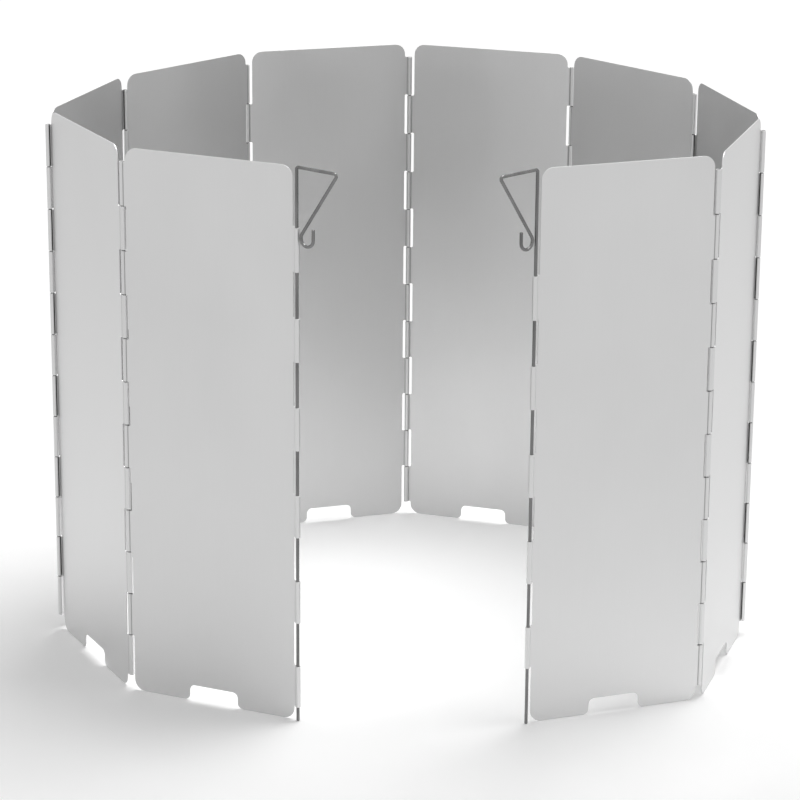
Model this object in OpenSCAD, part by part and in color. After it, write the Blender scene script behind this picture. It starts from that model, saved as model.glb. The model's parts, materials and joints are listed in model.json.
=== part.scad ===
// Folding windscreen for a camping stove: ten sheet panels joined by pinned hinges,
// stood up in a ring that is open at the front, with a wire stake in each free edge.
// Millimetres, +Z up, origin on the ground at the middle of the footprint, opening towards -Y.

/* [Panel] */
// Distance along the sheet between the two hinge axes of a panel
panel_pitch = 81; // [60:1:110]
// Height of a panel
panel_h = 240; // [160:1:320]
// Thickness of the sheet
sheet_t = 0.4; // [0.3:0.05:0.6]
// Radius of the four corners of a panel
corner_r = 5; // [2:0.5:8]

/* [Vent notch] */
// Width of the notch in the foot of a panel
vent_w = 23; // [12:1:36]
// Height of the notch
vent_h = 7; // [5.5:0.5:12]
// Radius of the notch's inner corners and of its mouth
vent_r = 2.5; // [1:0.25:2.5]

/* [Hinge] */
// Diameter of the wire of the hinge pins and of the stakes
wire_d = 1.4; // [1:0.1:2]
// Radial clearance of a wire in its knuckles
wire_clear = 0.05; // [0.03:0.01:0.1]
// Knuckles in one hinge, those of both panels counted together
knuckle_count = 12; // [8:2:16]
// Distance from the top and foot of a panel to the row of knuckles
knuckle_margin = 6; // [5:0.5:12]
// Gap between one knuckle and the next
knuckle_gap = 0.5; // [0.2:0.1:1]
// Width of the open seam of a rolled knuckle
seam_w = 0.4; // [0.2:0.05:0.5]
// Gap between a knuckle and the edge of the next panel's sheet
notch_gap = 1; // [0.7:0.05:2]
// Radius of the fillets where a knuckle's tab leaves the sheet
notch_r = 0.6; // [0.3:0.05:0.6]
// How far the ends of a hinge pin lie inside the row of knuckles
pin_recess = 1; // [0.5:0.25:4]

/* [Stakes] */
// Reach of a stake's handle, from its rod to the outer bend
handle_reach = 20.5; // [16:0.5:30]
// Drop of the handle, from its arm to the middle of its curl
handle_drop = 29; // [20:1:40]
// How far the handle's arm lies below the top of the panels
arm_drop = 0.2; // [0:0.1:5]
// Radius of the wire's two bends
bend_r = 1; // [1:0.25:3]
// Radius of the curl at the end of the handle
curl_r = 3.2; // [2.5:0.1:4]
// Length of the wire past the curl
curl_leg = 4.5; // [2:0.5:10]
// Gap between the curl and the knuckles
curl_gap = 0.35; // [0.2:0.05:1]
// Turn of the left handle, outwards from the plane of its panel
left_handle_turn = 14; // [0:1:40]
// Turn of the right handle, outwards from the plane of its panel
right_handle_turn = 23; // [0:1:40]

/* [Set-up] */
// Turn between neighbouring panels as the ring is set out, from the left free edge to the right
hinge_turns = [39, 45, 24, 30, 36, 30, 27, 33, 52]; // [10:1:60]
// Direction of the first panel, away from its free edge
first_heading = 156; // [145:1:165]
// How far the screen is folded: 0 is set out in a ring, 1 is a flat pack
fold = 0; // [0:0.05:1]

/* [Hidden] */
$fn = 48;

sheet_colour = [0.8, 0.8, 0.81];
wire_colour = [0.3, 0.3, 0.31];

panel_count = len(hinge_turns) + 1;
wire_r = wire_d / 2;
bore_r = wire_r + wire_clear;
knuckle_r = bore_r + sheet_t;
// The sheet runs on into the roll, so the axis lies beside the sheet's middle plane
axis_offset = bore_r + sheet_t / 2;
edge_setback = knuckle_r + notch_gap;
knuckle_pitch = (panel_h - 2 * knuckle_margin) / knuckle_count;
knuckle_len = knuckle_pitch - knuckle_gap;
// Height of the lower end of a knuckle, the knuckles being counted from the top
function knuckle_foot(k) = panel_h - knuckle_margin - k * knuckle_pitch + knuckle_gap / 2;
// A knuckle's tab runs this far into the sheet
tab_lap = 1;
// A fillet runs this far into the tab and the sheet beside it
fillet_lap = 0.2;
// Wire draws out in a bend, so a bend is this much thinner than the straight wire
bend_draw = 0.02;
// A bend runs this far into the straight wire at both of its ends
bend_lap = 0.1;

// Hinges 1, 3, 5, 7 and 9 are rolled inwards and fold inwards into the pack, the others outwards
function folds_inwards(i) = i % 2 == 1;
function packed_turn(i) = folds_inwards(i) ? 180 : -180;
function turn_at(i) = hinge_turns[i - 1] + fold * (packed_turn(i) - hinge_turns[i - 1]);
function heading(p) = p == 1 ? first_heading : heading(p - 1) - turn_at(p - 1);
function along(p) = [cos(heading(p)), sin(heading(p))];
function outward(p) = [-sin(heading(p)), cos(heading(p))];
// 1 where the panel's first axis lies inside the sheet and its second axis outside, else -1
function roll_side(p) = folds_inwards(p) ? -1 : 1;
// Axis 0 is the left free edge, axis i the hinge after panel i, and the last axis the right free edge
function raw_axis(i) = i == 0 ? [0, 0]
    : raw_axis(i - 1) + panel_pitch * along(i) + 2 * roll_side(i) * axis_offset * outward(i);

left_handle_angle = heading(1) + 180 - left_handle_turn;
right_handle_angle = heading(panel_count) + right_handle_turn;
function handle_tip(i, angle) = raw_axis(i) + handle_reach * [cos(angle), sin(angle)];

// The footprint's outermost rounds, each as x, y and radius, give the middle of the footprint
rounds = concat(
    [for (i = [0 : panel_count]) concat(raw_axis(i), knuckle_r)],
    [concat(handle_tip(0, left_handle_angle), wire_r)],
    [concat(handle_tip(panel_count, right_handle_angle), wire_r)]
);
low_corner = [for (k = [0, 1]) min([for (c = rounds) c[k] - c[2]])];
high_corner = [for (k = [0, 1]) max([for (c = rounds) c[k] + c[2]])];
function axis(i) = raw_axis(i) - (low_corner + high_corner) / 2;

// Sheet

module round_corner_plate(w, h, r) {
    translate([r, 0]) square([w - 2 * r, h]);
    translate([0, r]) square([w, h - 2 * r]);
    for (x = [r, w - r], y = [r, h - r]) translate([x, y]) circle(r = r);
}

// The cut of the vent notch about its middle line, with round inner corners and a flared mouth
module vent_cut() {
    below = 1;
    half = vent_w / 2;
    translate([-half, -below]) square([vent_w, vent_h - vent_r + below]);
    translate([-half + vent_r, 0]) square([vent_w - 2 * vent_r, vent_h]);
    for (s = [-1, 1]) translate([s * (half - vent_r), vent_h - vent_r]) circle(r = vent_r);
    difference() {
        translate([-half - vent_r, -below]) square([vent_w + 2 * vent_r, vent_r + below]);
        for (s = [-1, 1]) translate([s * (half + vent_r), vent_r]) circle(r = vent_r);
    }
}

// Fills the corner at the origin, between the sheet's edge above it and a tab that leaves to the left
module corner_fillet() {
    difference() {
        translate([-notch_r, -fillet_lap]) square(notch_r + fillet_lap);
        translate([-notch_r, notch_r]) circle(r = notch_r);
    }
}

// The fillets above and below the tabs on the sheet's first edge, from knuckle number first
module tab_fillets(first) {
    for (k = [first : 2 : knuckle_count]) {
        translate([edge_setback, knuckle_foot(k) + knuckle_len]) corner_fillet();
        translate([edge_setback, knuckle_foot(k)]) mirror([0, 1]) corner_fillet();
    }
}

module panel_outline(first_edge_start, second_edge_start) {
    difference() {
        translate([edge_setback, 0]) round_corner_plate(panel_pitch - 2 * edge_setback, panel_h, corner_r);
        translate([panel_pitch / 2, 0]) vent_cut();
    }
    tab_fillets(first_edge_start);
    translate([panel_pitch, 0]) mirror([1, 0]) tab_fillets(second_edge_start);
}

module sheet(first_edge_start, second_edge_start) {
    rotate([90, 0, 0])
        linear_extrude(sheet_t, center = true) panel_outline(first_edge_start, second_edge_start);
}

// Knuckles

// A rolled knuckle seen along its axis, with a seam beside the tab.
// The tab leaves towards sx, and the roll lies on the sy side of the sheet.
module knuckle_profile(sx, sy) {
    tab_end = edge_setback + tab_lap;
    seam_reach = 2 * knuckle_r;
    difference() {
        circle(r = knuckle_r);
        circle(r = bore_r);
        translate([sx > 0 ? 0 : -seam_reach, sy > 0 ? -seam_reach : bore_r - seam_w])
            square([seam_reach, seam_reach - bore_r + seam_w]);
    }
    translate([sx > 0 ? 0 : -tab_end, sy > 0 ? -knuckle_r : bore_r]) square([tab_end, sheet_t]);
}

// Every second knuckle of a row, from knuckle number first, counted from the top
module knuckle_row(sx, sy, first) {
    for (k = [first : 2 : knuckle_count])
        translate([0, 0, knuckle_foot(k)]) linear_extrude(knuckle_len) knuckle_profile(sx, sy);
}

// Sub-parts

module panel(p) {
    side = roll_side(p);
    // A panel has the even knuckles on its first edge and the odd ones on its second edge,
    // but the last panel has no top knuckle on its free edge
    first_edge_start = 2;
    second_edge_start = p == panel_count ? 3 : 1;
    color(sheet_colour)
        translate(axis(p - 1))
            rotate(heading(p))
                translate([0, side * axis_offset]) {
                    sheet(first_edge_start, second_edge_start);
                    translate([0, -side * axis_offset]) knuckle_row(1, -side, first_edge_start);
                    translate([panel_pitch, side * axis_offset]) knuckle_row(-1, side, second_edge_start);
                }
}

module hinge_pin(i) {
    end = knuckle_margin + pin_recess;
    color(wire_colour)
        translate(concat(axis(i), end)) cylinder(d = wire_d, h = panel_h - 2 * end);
}

// Pieces of wire in the XZ plane, where an angle of 0 points to +X and 90 to +Z

function polar(r, angle) = r * [cos(angle), sin(angle)];

module straight_wire(from, angle, length) {
    translate([from[0], 0, from[1]]) rotate([0, 90 - angle, 0]) cylinder(d = wire_d, h = length);
}

module bent_wire(centre, r, from, sweep) {
    lap_angle = bend_lap / r * 180 / PI;
    translate([centre[0], 0, centre[1]])
        rotate([90, 0, 0])
            rotate(from - lap_angle)
                rotate_extrude(angle = sweep + 2 * lap_angle)
                    translate([r, 0]) circle(d = wire_d - bend_draw);
}

// The stake stands on its rod; the handle leaves the rod's top, comes back down and ends in an open curl
module stake(i, angle) {
    arm_z = panel_h - arm_drop;
    top_bend = [bend_r, arm_z - bend_r];
    outer_bend = [handle_reach - bend_r, arm_z - bend_r];
    curl = [knuckle_r + curl_gap + wire_r + curl_r, arm_z - handle_drop];
    span = curl - outer_bend;
    // Direction of the straight run that leaves the outer bend and meets the curl
    run_angle = atan2(span[1], span[0]) - asin((bend_r + curl_r) / norm(span));
    run_start = outer_bend + polar(bend_r, run_angle + 90);
    run_end = curl + polar(curl_r, run_angle - 90);
    color(wire_colour)
        translate(axis(i))
            rotate(angle) {
                straight_wire([0, 0], 90, top_bend[1]);
                bent_wire(top_bend, bend_r, 90, 90);
                straight_wire([top_bend[0], arm_z], 0, outer_bend[0] - top_bend[0]);
                bent_wire(outer_bend, bend_r, run_angle + 90, -run_angle);
                straight_wire(run_start, run_angle, norm(run_end - run_start));
                bent_wire(curl, curl_r, run_angle + 270, 90 - run_angle);
                straight_wire(curl + [curl_r, 0], 90, curl_leg);
            }
}

for (p = [1 : panel_count]) panel(p);
for (i = [1 : panel_count - 1]) hinge_pin(i);
stake(0, left_handle_angle);  // stake_left
stake(panel_count, right_handle_angle);  // stake_right
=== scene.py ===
"""Looks of a folding stove windscreen: ten rolled sheet panels, their hinge wires and two wire stakes."""
import json
import math

import bmesh
import bpy
from mathutils import Matrix, Vector


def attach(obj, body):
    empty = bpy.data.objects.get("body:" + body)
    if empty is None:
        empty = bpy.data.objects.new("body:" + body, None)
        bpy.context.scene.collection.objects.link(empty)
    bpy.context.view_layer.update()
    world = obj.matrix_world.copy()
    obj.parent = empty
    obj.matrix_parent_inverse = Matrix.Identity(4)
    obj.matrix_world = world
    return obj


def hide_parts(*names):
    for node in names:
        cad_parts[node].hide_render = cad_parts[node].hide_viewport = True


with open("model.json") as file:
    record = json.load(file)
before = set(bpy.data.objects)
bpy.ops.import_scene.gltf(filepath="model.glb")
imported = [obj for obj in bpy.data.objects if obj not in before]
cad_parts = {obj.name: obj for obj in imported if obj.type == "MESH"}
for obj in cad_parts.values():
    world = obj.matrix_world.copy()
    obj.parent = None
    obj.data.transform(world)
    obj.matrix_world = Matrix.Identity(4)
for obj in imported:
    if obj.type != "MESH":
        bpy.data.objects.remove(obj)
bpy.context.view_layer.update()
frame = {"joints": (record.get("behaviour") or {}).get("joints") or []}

MM = 0.001

# Sizes in millimetres, as the solids have them
PANEL_PITCH = 81.0
PANEL_H = 240.0
SHEET_T = 0.4
CORNER_R = 5.0
VENT_W = 23.0
VENT_H = 7.0
VENT_R = 2.5
WIRE_R = 0.7
BORE_R = 0.75
KNUCKLE_COUNT = 12
KNUCKLE_MARGIN = 6.0
KNUCKLE_GAP = 0.5
NOTCH_GAP = 1.0
NOTCH_R = 0.6
PIN_RECESS = 1.0
HANDLE_REACH = 20.5
HANDLE_DROP = 29.0
ARM_DROP = 0.2
BEND_R = 1.0
CURL_R = 3.2
CURL_LEG = 4.5
CURL_GAP = 0.35
LEFT_HANDLE_TURN = 14.0
RIGHT_HANDLE_TURN = 23.0
HINGE_TURNS = (39, 45, 24, 30, 36, 30, 27, 33, 52)
FIRST_HEADING = 156.0

PANEL_COUNT = len(HINGE_TURNS) + 1
KNUCKLE_R = BORE_R + SHEET_T
ROLL_R = BORE_R + SHEET_T / 2
EDGE_SETBACK = KNUCKLE_R + NOTCH_GAP
KNUCKLE_PITCH = (PANEL_H - 2 * KNUCKLE_MARGIN) / KNUCKLE_COUNT
KNUCKLE_LEN = KNUCKLE_PITCH - KNUCKLE_GAP

# Neck of a tab: where it leaves the flat, the pulls of its curve at both ends, and its depth
NECK_START = 1.5
NECK_PULL = 0.35
NECK_DIP = 0.45
NECK_DEPTH = 0.3

# Degrees about the axis at which a roll begins and ends, 0 being in the plane of the sheet
ROLL_START = 40.0
ROLL_END = -275.0

# Fineness of the meshes
MERGE_DISTANCE = 0.0001
ROLL_STEPS = 22
NECK_STEPS = 8
# Steps at a roll's end over which the painted shade in its seam fades out
SEAM_SHADE_STEPS = 1.5
ARC_STEP = 12.0
WIRE_SIDES = 28
EDGE_BEVEL = 0.05
BEVEL_SEGMENTS = 2
BEVEL_LIMIT = 50.0
FLAT_WEIGHT = 100
WIRE_CHAMFER = 0.18

# Finish of the metals: reflectance from dark to light, and roughness from smooth to dull
SHEET_TONE = (0.71, 0.735)
SHEET_ROUGH = (0.37, 0.45)
EDGE_TONE = (0.72, 0.84)
EDGE_ROUGH = (0.3, 0.5)
PIN_TONE = (0.22, 0.3)
PIN_ROUGH = (0.2, 0.3)
STAKE_TONE = (0.17, 0.24)
STAKE_ROUGH = (0.1, 0.16)

# What fine grain and drawn lines add to the finish or take from it
GRAIN_TONE = 0.004
GRAIN_ROUGH = 0.01
DRAW_LINE_TONE = 0.02

# Share of the tone taken away at the bottom of a crease, as painted shade
PAINTED_CREASE_SHADE = 0.6

# Height of the marks in the metals, in metres
DENT_HEIGHT = 0.0012
GRAIN_HEIGHT = 0.000001
DRAW_LINE_HEIGHT = 0.000003

# Noise in the surfaces, in cells per metre along X, Y and Z, and the range that most of a noise lies in
SHEET_GRAIN = (2600, 2600, 45)
SHEET_CLOUD = (22, 22, 14)
SHEET_DENTS = (9, 9, 6)
EDGE_MARKS = (3500, 3500, 3500)
DRAW_LINES = (5000, 5000, 120)
WIRE_CLOUD = (160, 160, 60)
FLOOR_MOTTLE = (30, 30, 30)
NOISE_LOW = 0.3
NOISE_HIGH = 0.7

# Floor, in metres: its width, and how far it lies below the feet
FLOOR_SIZE = 8.0
FLOOR_DROP = 0.0001
FLOOR_TONE = (0.9, 0.92)
FLOOR_ROUGH = 0.9

# The floor looks brighter by LIFT about a place behind the object. The glow fades from GLOW_FULL to GLOW_END,
# in metres away from there, and across the view it fades sooner.
LIFT = 0.28
GLOW_BEHIND = 1.3
GLOW_SQUEEZE = 2.2
GLOW_FULL = 0.95
GLOW_END = 2.0

# Light that the world gives, and how bright it looks to the camera and in metal
WORLD_FILL = 0.04
WORLD_SHOWN = 0.9


# Where the panels stand

def polar(r, degrees):
    return Vector((r * math.cos(math.radians(degrees)), r * math.sin(math.radians(degrees))))


def heading(p):
    """Direction of panel p, from its first edge to its second."""
    return FIRST_HEADING - sum(HINGE_TURNS[: p - 1])


def roll_side(p):
    """-1 where the panel's first roll lies outside its sheet and the second inside, else 1."""
    return -1 if p % 2 == 1 else 1


def raw_axis(i):
    """Axis i from the left free edge, which is axis 0."""
    at = Vector((0, 0))
    for p in range(1, i + 1):
        at += polar(PANEL_PITCH, heading(p)) + polar(2 * roll_side(p) * ROLL_R, heading(p) + 90)
    return at


hinge_1 = next(j for j in frame["joints"] if j["name"] == "hinge_1")
AXIS_SHIFT = Vector(hinge_1["pos_m"][:2]) / MM - raw_axis(1)


def axis(i):
    return raw_axis(i) + AXIS_SHIFT


def placed(at, turn):
    """Matrix from a local frame in millimetres, turned about Z and moved to a plan point, to metres."""
    place = Matrix.Translation((at[0] * MM, at[1] * MM, 0))
    return place @ Matrix.Rotation(math.radians(turn), 4, "Z") @ Matrix.Scale(MM, 4)


# Mesh helpers

def arc(cx, cz, r, start, end):
    """Points of an arc in degrees, both ends included."""
    steps = max(2, round(abs(end - start) / ARC_STEP))
    return [(cx + r * math.cos(math.radians(a)), cz + r * math.sin(math.radians(a)))
            for a in (start + (end - start) * i / steps for i in range(steps + 1))]


def finished_object(name, bm, matrix, modifiers=()):
    """Turns a bmesh into a linked object with its modifiers applied."""
    bmesh.ops.remove_doubles(bm, verts=bm.verts, dist=MERGE_DISTANCE)
    bmesh.ops.recalc_face_normals(bm, faces=bm.faces)
    for face in bm.faces:
        face.smooth = True
    mesh = bpy.data.meshes.new(name)
    bm.transform(matrix)
    bm.to_mesh(mesh)
    bm.free()
    made = bpy.data.objects.new(name, mesh)
    bpy.context.scene.collection.objects.link(made)
    for kind, settings in modifiers:
        modifier = made.modifiers.new(kind.title(), kind)
        for key, value in settings.items():
            setattr(modifier, key, value)
    if modifiers:
        graph = bpy.context.evaluated_depsgraph_get()
        applied = bpy.data.meshes.new_from_object(made.evaluated_get(graph))
        made.modifiers.clear()
        made.data = applied
        applied.name = name
        bpy.data.meshes.remove(mesh)
    return made


# Panels

def knuckle_foot(k):
    return PANEL_H - KNUCKLE_MARGIN - k * KNUCKLE_PITCH + KNUCKLE_GAP / 2


def own_knuckles(p):
    """Numbers, from the top, of a panel's knuckles on its first and second edge."""
    first = range(2, KNUCKLE_COUNT + 1, 2)
    second = range(3 if p == PANEL_COUNT else 1, KNUCKLE_COUNT + 1, 2)
    return list(first), list(second)


def edge_points(knuckles):
    """The first edge from the top down, with the fillets and tabs of its knuckles."""
    points = []
    for k in knuckles:
        low, high = knuckle_foot(k), knuckle_foot(k) + KNUCKLE_LEN
        points += arc(EDGE_SETBACK - NOTCH_R, high + NOTCH_R, NOTCH_R, 0, -90)
        points += [(NECK_START, high), (NECK_START, low)]
        points += arc(EDGE_SETBACK - NOTCH_R, low - NOTCH_R, NOTCH_R, 90, 0)
    return points


def outline(p):
    """The flat part of a panel, in the plane of its sheet, anticlockwise from the top left corner."""
    left, right = EDGE_SETBACK, PANEL_PITCH - EDGE_SETBACK
    mid, half = PANEL_PITCH / 2, VENT_W / 2
    first, second = own_knuckles(p)
    points = arc(left + CORNER_R, PANEL_H - CORNER_R, CORNER_R, 90, 180)
    points += edge_points(first)
    points += arc(left + CORNER_R, CORNER_R, CORNER_R, 180, 270)
    points += arc(mid - half - VENT_R, VENT_R, VENT_R, 270, 360)
    points += arc(mid - half + VENT_R, VENT_H - VENT_R, VENT_R, 180, 90)
    points += arc(mid + half - VENT_R, VENT_H - VENT_R, VENT_R, 90, 0)
    points += arc(mid + half + VENT_R, VENT_R, VENT_R, 180, 270)
    points += arc(right - CORNER_R, CORNER_R, CORNER_R, 270, 360)
    points += [(PANEL_PITCH - x, z) for x, z in reversed(edge_points(second))]
    points += arc(right - CORNER_R, PANEL_H - CORNER_R, CORNER_R, 0, 90)
    return points


def roll_profile():
    """Section of a tab from its neck to the roll's end: distances from the axis along and off the sheet."""
    start = math.radians(ROLL_START)
    foot = Vector((ROLL_R * math.sin(start), ROLL_R * math.cos(start)))
    a, b = Vector((NECK_START, ROLL_R)), Vector((NECK_START - NECK_PULL, ROLL_R))
    c = foot + NECK_DIP * Vector((math.cos(start), -math.sin(start)))
    points = []
    for i in range(NECK_STEPS):
        t = i / NECK_STEPS
        near_flat = a * (1 - t) ** 3 + b * 3 * t * (1 - t) ** 2
        near_roll = c * 3 * t * t * (1 - t) + foot * t ** 3
        points.append(near_flat + near_roll)
    for i in range(ROLL_STEPS + 1):
        turn = math.radians(ROLL_START + (ROLL_END - ROLL_START) * i / ROLL_STEPS)
        points.append(Vector((ROLL_R * math.sin(turn), ROLL_R * math.cos(turn))))
    return points


def painted_shade_depth(i, u, v):
    """Depth of the painted crease shade: 1 at the bottom of the neck and at the roll's end, falling to 0 on
    the plain round and the flat.
    """
    if i > NECK_STEPS + ROLL_STEPS // 2:
        return max(0.0, 1 - (NECK_STEPS + ROLL_STEPS - i) / SEAM_SHADE_STEPS)
    dip = max(0.0, min(1.0, (ROLL_R - v) / NECK_DEPTH)) if u > 0 else 0.0
    return dip ** 2


def rolled_strip(bm, centre, sx, sy, low, high):
    """A tab rolled about an upright axis; it rolls towards sx, from a sheet on the sy side."""
    # Each vertex keeps how deep the painted shade of the neck and seam is there
    painted_crease_shade = bm.verts.layers.float["painted_crease_shade"]
    rows = []
    for i, (u, v) in enumerate(roll_profile()):
        row = [bm.verts.new((centre[0] - sx * u, centre[1] + sy * v, z)) for z in (low, high)]
        for vert in row:
            vert[painted_crease_shade] = painted_shade_depth(i, u, v)
        rows.append(row)
    for a, b in zip(rows, rows[1:]):
        bm.faces.new((a[0], b[0], b[1], a[1]))


def make_panel(p):
    side = roll_side(p)
    sheet_y = side * ROLL_R
    bm = bmesh.new()
    # Vertex layer for the painted shade in the creases of the tabs
    bm.verts.layers.float.new("painted_crease_shade")
    bm.faces.new([bm.verts.new((x, sheet_y, z)) for x, z in outline(p)])
    for edge, knuckles in enumerate(own_knuckles(p)):
        centre = (edge * PANEL_PITCH, edge * 2 * sheet_y)
        sx, sy = (-1, side) if edge == 0 else (1, -side)
        for k in knuckles:
            rolled_strip(bm, centre, sx, sy, knuckle_foot(k), knuckle_foot(k) + KNUCKLE_LEN)
    modifiers = (
        ("SOLIDIFY", {"thickness": SHEET_T * MM, "offset": 0, "use_even_offset": True,
                      "material_offset_rim": 1}),
        ("BEVEL", {"width": EDGE_BEVEL * MM, "segments": BEVEL_SEGMENTS, "limit_method": "ANGLE",
                   "angle_limit": math.radians(BEVEL_LIMIT)}),
        ("WEIGHTED_NORMAL", {"mode": "FACE_AREA", "weight": FLAT_WEIGHT, "keep_sharp": True}),
    )
    return finished_object(f"rolled_panel_{p}", bm, placed(axis(p - 1), heading(p)), modifiers)


# Wires

def sweep_wire(bm, path):
    """A round wire along a path in the XZ plane, with chamfered ends."""
    def ring(point, tangent, r):
        across = Vector((-tangent.y, tangent.x))
        made = []
        for i in range(WIRE_SIDES):
            a = 2 * math.pi * i / WIRE_SIDES
            flat = point + across * r * math.cos(a)
            made.append(bm.verts.new((flat.x, r * math.sin(a), flat.y)))
        return made

    points = [Vector(q) for q in path]
    tangents = []
    for i in range(len(points)):
        before, after = points[max(i - 1, 0)], points[min(i + 1, len(points) - 1)]
        tangents.append((after - before).normalized())
    start, end = points[0], points[-1]
    rings = [ring(start, tangents[0], WIRE_R - WIRE_CHAMFER),
             ring(start + tangents[0] * WIRE_CHAMFER, tangents[0], WIRE_R)]
    rings += [ring(q, t, WIRE_R) for q, t in zip(points[1:-1], tangents[1:-1])]
    rings += [ring(end - tangents[-1] * WIRE_CHAMFER, tangents[-1], WIRE_R),
              ring(end, tangents[-1], WIRE_R - WIRE_CHAMFER)]
    for a, b in zip(rings, rings[1:]):
        for i in range(WIRE_SIDES):
            j = (i + 1) % WIRE_SIDES
            bm.faces.new((a[i], a[j], b[j], b[i]))
    for end_ring in (rings[0], rings[1], rings[-2], rings[-1]):
        for a, b in zip(end_ring, end_ring[1:] + end_ring[:1]):
            bm.edges.get((a, b)).smooth = False
    bm.faces.new(rings[0])
    bm.faces.new(rings[-1])


def make_pin(i):
    end = KNUCKLE_MARGIN + PIN_RECESS
    bm = bmesh.new()
    sweep_wire(bm, [(0, end), (0, PANEL_H / 2), (0, PANEL_H - end)])
    return finished_object(f"hinge_wire_{i}", bm, placed(axis(i), 0))


def stake_path():
    """Centreline of a stake: rod, arm, run back down and open curl, with the handle towards +X."""
    arm_z = PANEL_H - ARM_DROP
    top_bend = Vector((BEND_R, arm_z - BEND_R))
    outer_bend = Vector((HANDLE_REACH - BEND_R, arm_z - BEND_R))
    curl = Vector((KNUCKLE_R + CURL_GAP + WIRE_R + CURL_R, arm_z - HANDLE_DROP))
    span = curl - outer_bend
    run = math.degrees(math.atan2(span.y, span.x) - math.asin((BEND_R + CURL_R) / span.length))
    points = [(0, 0), (0, arm_z / 2)]
    points += arc(*top_bend, BEND_R, 180, 90)
    points += arc(*outer_bend, BEND_R, 90, run + 90)
    points += arc(*curl, CURL_R, run + 270, 360)
    points.append((curl.x + CURL_R, curl.y + CURL_LEG))
    return points


def make_stake(name, i, turn):
    bm = bmesh.new()
    sweep_wire(bm, stake_path())
    return finished_object(name, bm, placed(axis(i), turn))


# Materials

def node(tree, kind, **settings):
    made = tree.nodes.new(kind)
    for key, value in settings.items():
        if key in made.inputs:
            made.inputs[key].default_value = value
        else:
            setattr(made, key, value)
    return made


def new_material(name):
    material = bpy.data.materials.new(name)
    material.use_nodes = True
    tree = material.node_tree
    return material, tree, tree.nodes["Principled BSDF"]


def stretched_noise(tree, stretch, detail, rough=0.5):
    """Noise in the piece's own coordinates; stretch is in cells per metre along X, Y and Z."""
    place = node(tree, "ShaderNodeTexCoord")
    scaled = node(tree, "ShaderNodeMapping", vector_type="POINT", Scale=stretch)
    noise = node(tree, "ShaderNodeTexNoise", Scale=1.0, Detail=detail, Roughness=rough)
    tree.links.new(place.outputs["Object"], scaled.inputs["Vector"])
    tree.links.new(scaled.outputs["Vector"], noise.inputs["Vector"])
    return noise.outputs["Fac"]


def ranged(tree, value, low, high):
    """Maps the middle of a noise's range to low and high."""
    mapped = node(tree, "ShaderNodeMapRange")
    mapped.inputs["From Min"].default_value = NOISE_LOW
    mapped.inputs["From Max"].default_value = NOISE_HIGH
    mapped.inputs["To Min"].default_value = low
    mapped.inputs["To Max"].default_value = high
    tree.links.new(value, mapped.inputs["Value"])
    return mapped.outputs["Result"]


def total(tree, first, second):
    added = node(tree, "ShaderNodeMath", operation="ADD")
    tree.links.new(first, added.inputs[0])
    tree.links.new(second, added.inputs[1])
    return added.outputs[0]


def dimmed(tree, value, amount, share):
    """The value less a share of itself, by an amount from 0 to 1."""
    kept = node(tree, "ShaderNodeMapRange")
    kept.inputs["To Min"].default_value = 1.0
    kept.inputs["To Max"].default_value = 1 - share
    tree.links.new(amount, kept.inputs["Value"])
    product = node(tree, "ShaderNodeMath", operation="MULTIPLY")
    tree.links.new(value, product.inputs[0])
    tree.links.new(kept.outputs["Result"], product.inputs[1])
    return product.outputs[0]


def grey(tree, value):
    joined = node(tree, "ShaderNodeCombineColor")
    for name in ("Red", "Green", "Blue"):
        tree.links.new(value, joined.inputs[name])
    return joined.outputs["Color"]


def bumped(tree, height, distance, before=None):
    bump = node(tree, "ShaderNodeBump", Strength=1.0, Distance=distance)
    tree.links.new(height, bump.inputs["Height"])
    if before is not None:
        tree.links.new(before, bump.inputs["Normal"])
    return bump.outputs["Normal"]


def satin_aluminium():
    """Rolled sheet: fine upright grain, cloudy sheen, slight unevenness of the flats, and painted shade
    darkening its creases.
    """
    material, tree, shader = new_material("satin_aluminium")
    grain = stretched_noise(tree, SHEET_GRAIN, 3)
    cloud = stretched_noise(tree, SHEET_CLOUD, 3)
    dents = stretched_noise(tree, SHEET_DENTS, 1)
    painted_crease_shade = node(tree, "ShaderNodeAttribute", attribute_name="painted_crease_shade").outputs["Fac"]
    tone = total(tree, ranged(tree, grain, -GRAIN_TONE, GRAIN_TONE), ranged(tree, cloud, *SHEET_TONE))
    rough = total(tree, ranged(tree, grain, -GRAIN_ROUGH, GRAIN_ROUGH), ranged(tree, cloud, *SHEET_ROUGH))
    shader.inputs["Metallic"].default_value = 1.0
    # The base colour is darkened in the creases by painted shade
    tree.links.new(grey(tree, dimmed(tree, tone, painted_crease_shade, PAINTED_CREASE_SHADE)), shader.inputs["Base Color"])
    tree.links.new(rough, shader.inputs["Roughness"])
    normal = bumped(tree, dents, DENT_HEIGHT)
    tree.links.new(bumped(tree, grain, GRAIN_HEIGHT, normal), shader.inputs["Normal"])
    return material


def cut_edge():
    """The sheared edge of the sheet, brighter and with short marks across it."""
    material, tree, shader = new_material("cut_edge")
    marks = stretched_noise(tree, EDGE_MARKS, 2)
    shader.inputs["Metallic"].default_value = 1.0
    tree.links.new(grey(tree, ranged(tree, marks, *EDGE_TONE)), shader.inputs["Base Color"])
    tree.links.new(ranged(tree, marks, *EDGE_ROUGH), shader.inputs["Roughness"])
    return material


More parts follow.
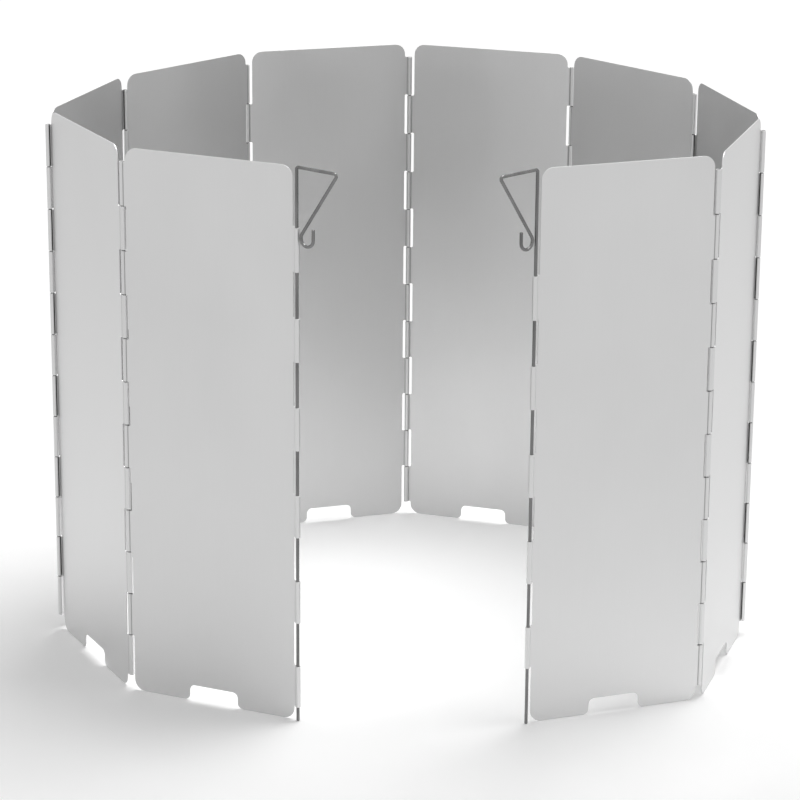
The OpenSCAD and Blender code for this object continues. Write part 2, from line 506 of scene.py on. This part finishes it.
def drawn_steel(name, tone_range, rough_range):
    """Wire drawn through a die: fine lines along it and cloudy dull patches."""
    material, tree, shader = new_material(name)
    lines = stretched_noise(tree, DRAW_LINES, 2)
    cloud = stretched_noise(tree, WIRE_CLOUD, 2)
    line_tone = ranged(tree, lines, -DRAW_LINE_TONE, DRAW_LINE_TONE)
    tone = total(tree, line_tone, ranged(tree, cloud, *tone_range))
    shader.inputs["Metallic"].default_value = 1.0
    tree.links.new(grey(tree, tone), shader.inputs["Base Color"])
    tree.links.new(ranged(tree, cloud, *rough_range), shader.inputs["Roughness"])
    tree.links.new(bumped(tree, lines, DRAW_LINE_HEIGHT), shader.inputs["Normal"])
    return material


# Stage

def seen_directly(tree):
    """1 for rays that show a surface to the camera, straight or by way of metal or glass."""
    path = node(tree, "ShaderNodeLightPath")
    value = path.outputs["Is Camera Ray"]
    for name in ("Is Glossy Ray", "Is Transmission Ray"):
        either = node(tree, "ShaderNodeMath", operation="MAXIMUM")
        tree.links.new(value, either.inputs[0])
        tree.links.new(path.outputs[name], either.inputs[1])
        value = either.outputs[0]
    return value


def floor_glow(tree):
    """Extra brightness of the floor, for rays that show it to the camera."""
    place = node(tree, "ShaderNodeTexCoord")
    shifted = node(tree, "ShaderNodeMapping", Location=(0, -GLOW_BEHIND, 0), Scale=(GLOW_SQUEEZE, 1, 1))
    away = node(tree, "ShaderNodeVectorMath", operation="LENGTH")
    glow = node(tree, "ShaderNodeMapRange")
    glow.inputs["From Min"].default_value = GLOW_FULL
    glow.inputs["From Max"].default_value = GLOW_END
    glow.inputs["To Min"].default_value = LIFT
    glow.inputs["To Max"].default_value = 0.0
    shown = node(tree, "ShaderNodeMath", operation="MULTIPLY")
    tree.links.new(place.outputs["Object"], shifted.inputs["Vector"])
    tree.links.new(shifted.outputs["Vector"], away.inputs[0])
    tree.links.new(away.outputs["Value"], glow.inputs["Value"])
    tree.links.new(seen_directly(tree), shown.inputs[0])
    tree.links.new(glow.outputs["Result"], shown.inputs[1])
    return shown.outputs[0]


def make_floor():
    bm = bmesh.new()
    bmesh.ops.create_grid(bm, x_segments=1, y_segments=1, size=FLOOR_SIZE / 2)
    floor = finished_object("floor", bm, Matrix.Translation((0, 0, -FLOOR_DROP)))
    material, tree, shader = new_material("pale_floor")
    mottle = stretched_noise(tree, FLOOR_MOTTLE, 2)
    tree.links.new(grey(tree, ranged(tree, mottle, *FLOOR_TONE)), shader.inputs["Base Color"])
    shader.inputs["Roughness"].default_value = FLOOR_ROUGH
    shader.inputs["Specular IOR Level"].default_value = 0.0
    shader.inputs["Emission Color"].default_value = (1, 1, 1, 1)
    tree.links.new(floor_glow(tree), shader.inputs["Emission Strength"])
    floor.data.materials.append(material)


def make_world():
    world = bpy.data.worlds.new("studio")
    bpy.context.scene.world = world
    world.use_nodes = True
    tree = world.node_tree
    tree.nodes.clear()
    fill = node(tree, "ShaderNodeBackground", Color=(1, 1, 1, 1), Strength=WORLD_FILL)
    shown = node(tree, "ShaderNodeBackground", Color=(1, 1, 1, 1), Strength=WORLD_SHOWN)
    mix = node(tree, "ShaderNodeMixShader")
    out = node(tree, "ShaderNodeOutputWorld")
    tree.links.new(seen_directly(tree), mix.inputs["Fac"])
    tree.links.new(fill.outputs[0], mix.inputs[1])
    tree.links.new(shown.outputs[0], mix.inputs[2])
    tree.links.new(mix.outputs[0], out.inputs["Surface"])


def make_sun(name, azimuth, elevation, strength, softness):
    """A soft, far lamp; azimuth is the plan direction that it stands in, 0 being +X."""
    lamp = bpy.data.lights.new(name, "SUN")
    lamp.energy = strength
    lamp.angle = math.radians(softness)
    made = bpy.data.objects.new(name, lamp)
    flat = polar(math.cos(math.radians(elevation)), azimuth)
    towards = Vector((flat.x, flat.y, math.sin(math.radians(elevation))))
    made.rotation_euler = towards.to_track_quat("Z", "Y").to_euler()
    bpy.context.scene.collection.objects.link(made)


def make_camera():
    """The photograph's viewpoint: pixels of a square frame, degrees, and millimetres from the first hinge."""
    frame_px = 800
    focal_px = 3058.6
    pitch = 17.2045
    roll = 0.4507
    from_hinge_1 = Vector((115.327, -1231.955))
    height = 513.18
    camera = bpy.data.cameras.new("camera")
    camera.sensor_width = 36
    camera.lens = camera.sensor_width * focal_px / frame_px
    made = bpy.data.objects.new("camera", camera)
    turn = Matrix.Rotation(math.radians(90 - pitch), 4, "X") @ Matrix.Rotation(math.radians(roll), 4, "Z")
    place = (axis(1) + from_hinge_1).to_3d() + Vector((0, 0, height))
    made.matrix_world = Matrix.Translation(place * MM) @ turn
    bpy.context.scene.collection.objects.link(made)
    bpy.context.scene.camera = made


# The whole object

def dress(piece, cad_node, body, slot, *materials):
    piece.data.materials.clear()
    for material in materials:
        piece.data.materials.append(material)
    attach(piece, body)
    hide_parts(cad_node)


sheet_metal = satin_aluminium()
raw_edge = cut_edge()
pin_steel = drawn_steel("pin_steel", PIN_TONE, PIN_ROUGH)
stake_steel = drawn_steel("stake_steel", STAKE_TONE, STAKE_ROUGH)

for p in range(1, PANEL_COUNT + 1):
    dress(make_panel(p), f"panel_{p}", f"panel_{p}", "sheet", sheet_metal, raw_edge)
for i in range(1, PANEL_COUNT):
    dress(make_pin(i), f"hinge_pin_{i}", f"panel_{i}", "pin_wire", pin_steel)
left_turn = heading(1) + 180 - LEFT_HANDLE_TURN
right_turn = heading(PANEL_COUNT) + RIGHT_HANDLE_TURN
dress(make_stake("stake_wire_left", 0, left_turn), "stake_left", "stake_left", "stake_wire", stake_steel)
dress(make_stake("stake_wire_right", PANEL_COUNT, right_turn), "stake_right", "stake_right", "stake_wire",
      stake_steel)

make_floor()
make_world()
make_sun("key", azimuth=40, elevation=68, strength=1.65, softness=36)
make_sun("top", azimuth=0, elevation=90, strength=1.0, softness=36)
make_camera()
bpy.context.scene.view_settings.view_transform = "Standard"
